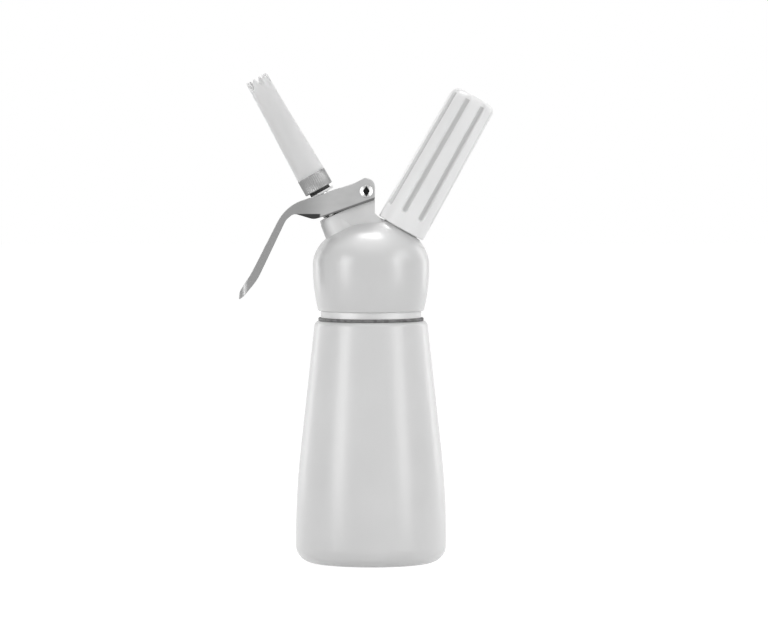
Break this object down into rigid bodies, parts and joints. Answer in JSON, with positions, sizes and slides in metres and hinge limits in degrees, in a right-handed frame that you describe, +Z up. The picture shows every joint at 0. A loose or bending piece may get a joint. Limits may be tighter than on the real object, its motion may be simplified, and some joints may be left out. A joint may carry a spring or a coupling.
{
  "type": "whipped cream dispenser",
  "caption": "Hand whipped cream dispenser: tapered bottle, domed screw-on head, squeeze lever, toothed nozzle and fluted gas charger holder.",
  "frame": {"origin": "centre of the bottle's flat underside, where it stands", "axes": "+Z up along the bottle's axis; +X towards the gas charger holder, so the lever hangs towards -X; +Y to the back"},
  "size_m": [0.1444, 0.086, 0.279],
  "materials": {
    "bottle_white": "smooth satin paint",
    "head_white": "smooth semi-gloss paint",
    "holder_white": "semi-gloss moulding",
    "white_plastic": "smooth",
    "tip_plastic": "milky translucent moulding",
    "head_metal": "turned",
    "satin_metal": "bead blasted satin",
    "lever_metal": "satin",
    "steel": "turned",
    "spring_steel": "drawn wire",
    "bulb_steel": "zinc plated",
    "brass": "turned",
    "dark_rubber": "moulded",
    "pale_rubber": "moulded silicone"
  },
  "bodies": {
    "bottle": {"bottle": "bottle_white", "shoulder_ring": "dark_rubber"},
    "gasket": {"head_gasket": "pale_rubber"},
    "head": {"head_core": "head_metal", "head_cover": "head_white", "valve_housing": "satin_metal", "housing_nut": "steel", "housing_oring": "dark_rubber", "lever_pin": "steel", "piercer_plug": "brass", "piercing_needle": "steel", "charger_seal": "dark_rubber", "check_valve_disc": "pale_rubber", "check_valve_cap": "brass", "valve_spring": "spring_steel"},
    "lever": {"lever": "lever_metal"},
    "valve": {"valve_stem": "steel", "stem_orings": "dark_rubber", "stem_flange": "steel", "poppet_seal": "dark_rubber", "poppet_nut": "steel", "nozzle_seat_washer": "white_plastic", "nozzle_gasket": "dark_rubber", "nozzle_collar": "satin_metal", "nozzle_tip": "tip_plastic"},
    "charger": {"gas_charger": "bulb_steel"},
    "holder": {"charger_holder": "holder_white", "holder_insert": "head_metal", "holder_pad": "dark_rubber"}
  },
  "joints": [
    {"name": "head_rise", "type": "slide", "parent": "bottle", "child": "gasket", "axis": [0, 0, 1], "range_m": [0, 0.01051]},
    {"name": "head_turn", "type": "hinge", "parent": "gasket", "child": "head", "pos_m": [0, 0, 0.152], "axis": [0, 0, 1], "range_deg": [0, 1080]},
    {"name": "lever_press", "type": "hinge", "parent": "head", "child": "lever", "pos_m": [-0.0026, 0, 0.2118], "axis": [0, -1, 0], "range_deg": [0, 7.5], "stiffness_Nm_per_rad": 2, "springref_deg": -11.46},
    {"name": "valve_stroke", "type": "slide", "parent": "head", "child": "valve", "axis": [0.4924, 0, -0.8704], "range_m": [0, 0.00302], "deforming": ["valve_spring"]},
    {"name": "charger_rise", "type": "slide", "parent": "head", "child": "charger", "axis": [0.4924, 0, 0.8704], "range_m": [0, 0.01001]},
    {"name": "holder_turn", "type": "hinge", "parent": "charger", "child": "holder", "pos_m": [0, 0, 0.1605], "axis": [0.4924, 0, 0.8704], "range_deg": [0, 1800]}
  ],
  "couplings": [
    {"joint": "head_rise", "follows": "head_turn", "m_per_rad": 0.00055704},
    {"joint": "valve_stroke", "follows": "lever_press", "m_per_rad": 0.023},
    {"joint": "charger_rise", "follows": "holder_turn", "m_per_rad": 0.00031831}
  ]
}
